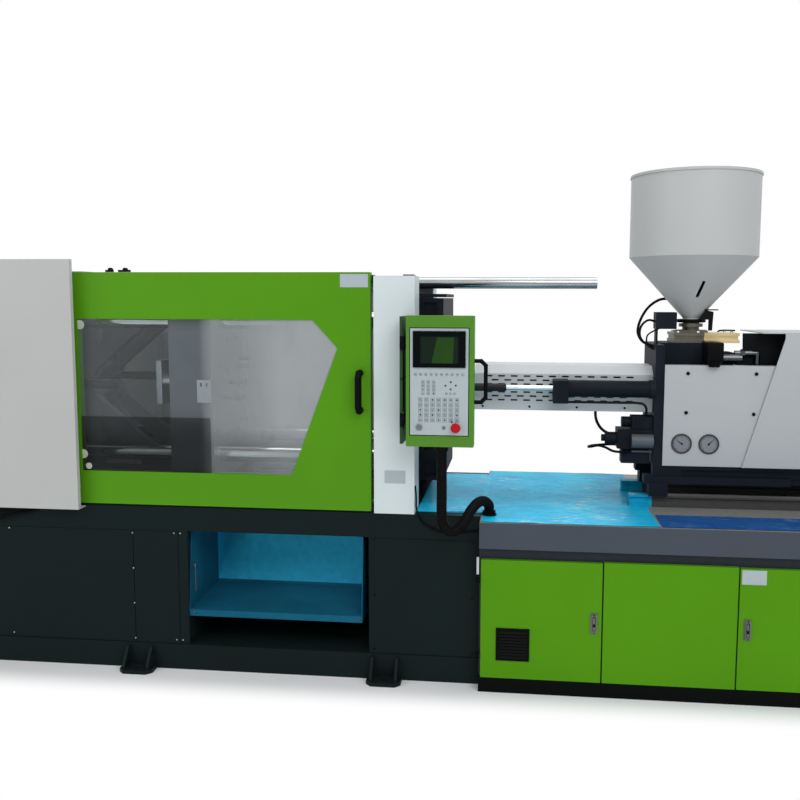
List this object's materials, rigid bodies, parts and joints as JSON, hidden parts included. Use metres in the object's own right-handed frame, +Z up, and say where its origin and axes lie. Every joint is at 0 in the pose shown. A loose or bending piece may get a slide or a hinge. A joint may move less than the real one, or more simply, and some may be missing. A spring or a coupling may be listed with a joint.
{
  "type": "injection moulding machine",
  "caption": "Horizontal injection moulding machine with a toggle clamp behind sliding guards, a hydraulic injection unit with a hopper, and a swing control panel.",
  "frame": {"origin": "on the floor, at the middle of the machine's length and on its centre plane", "axes": "+X along the machine towards the injection end, +Y away from the operator's side, +Z up"},
  "size_m": [5.4, 1.146, 2.1563],
  "materials": {
    "base_paint": "satin charcoal green paint",
    "lime_paint": "gloss lime green powder coat",
    "cover_paint": "satin light grey paint",
    "casting_paint": "dark navy grey casting paint",
    "link_casting": "machined casting",
    "machined_steel": "machined",
    "chrome_rod": "hard chrome, polished",
    "film_sheet": "grey sheet under bright blue film",
    "fascia_paint": "satin grey paint",
    "black_plastic": "moulded",
    "clear_sheet": "polycarbonate",
    "brass_plate": "machined",
    "white_plate": "printed membrane, left without words",
    "screen_glass": "bezel with a dark screen",
    "red_plastic": "moulded",
    "rubber_hose": "ribbed conduit",
    "gauge_metal": "gauge with a plain dial"
  },
  "bodies": {
    "root": {"clamp_base": "base_paint", "base_panels": "base_paint", "anchor_feet": "base_paint", "discharge_tray": "film_sheet", "clamp_hood": "cover_paint", "column_covers": "cover_paint", "door_rails": "machined_steel", "fixed_platen": "casting_paint", "rear_platen": "casting_paint", "tie_bars": "chrome_rod", "clamp_cylinder": "casting_paint", "safety_bracket": "casting_paint", "injection_base": "fascia_paint", "deck_sheet": "film_sheet", "fixed_panels": "lime_paint", "pump_motor": "casting_paint", "electrical_plate": "machined_steel", "injection_rails": "machined_steel", "seat_rods": "chrome_rod", "panel_arm": "base_paint", "panel_hose": "rubber_hose"},
    "front_door": {"front_door": "lime_paint", "front_window": "clear_sheet", "door_handle": "black_plastic"},
    "rear_door": {"rear_door": "cover_paint"},
    "moving_platen": {"moving_platen": "casting_paint", "safety_bar": "chrome_rod"},
    "crosshead": {"crosshead": "machined_steel"},
    "rear_link_upper": {"rear_link_upper": "link_casting"},
    "rear_link_lower": {"rear_link_lower": "link_casting"},
    "front_link_upper": {"front_link_upper": "link_casting"},
    "front_link_lower": {"front_link_lower": "link_casting"},
    "cross_link_upper": {"cross_link_upper": "machined_steel"},
    "cross_link_lower": {"cross_link_lower": "machined_steel"},
    "ejector": {"ejector_plate": "machined_steel"},
    "carriage": {"carriage_frame": "casting_paint", "feed_housing": "casting_paint", "barrel": "machined_steel", "barrel_cover": "cover_paint", "seat_cylinders": "casting_paint", "front_cover": "cover_paint", "rear_cover": "cover_paint", "pressure_gauges": "gauge_metal", "valve_block": "casting_paint", "slide_base": "brass_plate"},
    "injection_drive": {"injection_drive": "casting_paint"},
    "screw": {"screw": "chrome_rod"},
    "hopper": {"hopper": "cover_paint", "hopper_lid": "cover_paint"},
    "cabinet_door_1": {"cabinet_door_1": "lime_paint", "vent_grille": "black_plastic"},
    "cabinet_door_3": {"cabinet_door_3": "lime_paint"},
    "latch_1": {"latch_1": "machined_steel"},
    "latch_3": {"latch_3": "machined_steel"},
    "panel": {"panel_housing": "lime_paint", "panel_face": "white_plate", "panel_screen": "screen_glass", "panel_handle": "black_plastic"},
    "emergency_stop": {"emergency_stop": "red_plastic"},
    "key_switch": {"key_switch": "machined_steel"}
  },
  "joints": [
    {"name": "front_door_slide", "type": "slide", "parent": "root", "child": "front_door", "axis": [-1, 0, 0], "range_m": [0, 0.7]},
    {"name": "rear_door_slide", "type": "slide", "parent": "root", "child": "rear_door", "axis": [-1, 0, 0], "range_m": [0, 0.7]},
    {"name": "clamp_slide", "type": "slide", "parent": "root", "child": "moving_platen", "axis": [1, 0, 0], "range_m": [0, 0.407]},
    {"name": "crosshead_slide", "type": "slide", "parent": "root", "child": "crosshead", "axis": [1, 0, 0], "range_m": [0, 0.2994]},
    {"name": "rear_link_upper_pivot", "type": "hinge", "parent": "root", "child": "rear_link_upper", "pos_m": [-1.56085, 0, 1.55], "axis": [0, -1, 0], "range_deg": [0, 95]},
    {"name": "rear_link_lower_pivot", "type": "hinge", "parent": "root", "child": "rear_link_lower", "pos_m": [-1.56085, 0, 0.87], "axis": [0, 1, 0], "range_deg": [0, 95]},
    {"name": "front_link_upper_pivot", "type": "hinge", "parent": "moving_platen", "child": "front_link_upper", "pos_m": [-1.258, 0, 1.55], "axis": [0, 1, 0], "range_deg": [0, 40.44]},
    {"name": "front_link_lower_pivot", "type": "hinge", "parent": "moving_platen", "child": "front_link_lower", "pos_m": [-1.258, 0, 0.87], "axis": [0, -1, 0], "range_deg": [0, 40.44]},
    {"name": "cross_link_upper_pivot", "type": "hinge", "parent": "crosshead", "child": "cross_link_upper", "pos_m": [-1.81274, 0, 1.32], "axis": [0, -1, 0], "range_deg": [0, 30.22]},
    {"name": "cross_link_lower_pivot", "type": "hinge", "parent": "crosshead", "child": "cross_link_lower", "pos_m": [-1.81274, 0, 1.1], "axis": [0, 1, 0], "range_deg": [0, 30.22]},
    {"name": "ejector_slide", "type": "slide", "parent": "moving_platen", "child": "ejector", "axis": [1, 0, 0], "range_m": [0, 0.1]},
    {"name": "carriage_slide", "type": "slide", "parent": "root", "child": "carriage", "axis": [1, 0, 0], "range_m": [-0.06, 0.2]},
    {"name": "injection_slide", "type": "slide", "parent": "carriage", "child": "injection_drive", "axis": [-1, 0, 0], "range_m": [0, 0.15]},
    {"name": "screw_turn", "type": "hinge", "parent": "injection_drive", "child": "screw", "pos_m": [1, 0, 1.21], "axis": [1, 0, 0], "continuous": true},
    {"name": "hopper_slide", "type": "slide", "parent": "carriage", "child": "hopper", "axis": [1, 0, 0], "range_m": [0, 0.15]},
    {"name": "cabinet_door_1_hinge", "type": "hinge", "parent": "root", "child": "cabinet_door_1", "pos_m": [0.258, -0.519, 0.31], "axis": [0, 0, -1], "range_deg": [0, 100]},
    {"name": "cabinet_door_3_hinge", "type": "hinge", "parent": "root", "child": "cabinet_door_3", "pos_m": [1.789, -0.519, 0.31], "axis": [0, 0, 1], "range_deg": [0, 100]},
    {"name": "latch_1_turn", "type": "hinge", "parent": "cabinet_door_1", "child": "latch_1", "pos_m": [0.711, -0.52, 0.335], "axis": [0, 1, 0], "range_deg": [0, 90]},
    {"name": "latch_3_turn", "type": "hinge", "parent": "cabinet_door_3", "child": "latch_3", "pos_m": [1.305, -0.52, 0.335], "axis": [0, 1, 0], "range_deg": [0, 90]},
    {"name": "panel_swing", "type": "hinge", "parent": "root", "child": "panel", "pos_m": [-0.05, -0.575, 1.26], "axis": [0, 0, -1], "range_deg": [0, 100]},
    {"name": "emergency_stop_push", "type": "slide", "parent": "panel", "child": "emergency_stop", "axis": [0, 1, 0], "range_m": [0, 0.006]},
    {"name": "key_switch_turn", "type": "hinge", "parent": "panel", "child": "key_switch", "pos_m": [0.015, -0.6, 1.1], "axis": [0, 1, 0], "range_deg": [0, 90]}
  ],
  "couplings": [
    {"joint": "crosshead_slide", "follows": "clamp_slide", "ratio": 0.73562},
    {"joint": "rear_link_upper_pivot", "follows": "clamp_slide", "rad_per_m": 4.0739},
    {"joint": "rear_link_lower_pivot", "follows": "clamp_slide", "rad_per_m": 4.0739},
    {"joint": "front_link_upper_pivot", "follows": "clamp_slide", "rad_per_m": 1.7342},
    {"joint": "front_link_lower_pivot", "follows": "clamp_slide", "rad_per_m": 1.7342},
    {"joint": "cross_link_upper_pivot", "follows": "clamp_slide", "rad_per_m": 1.2959},
    {"joint": "cross_link_lower_pivot", "follows": "clamp_slide", "rad_per_m": 1.2959}
  ]
}
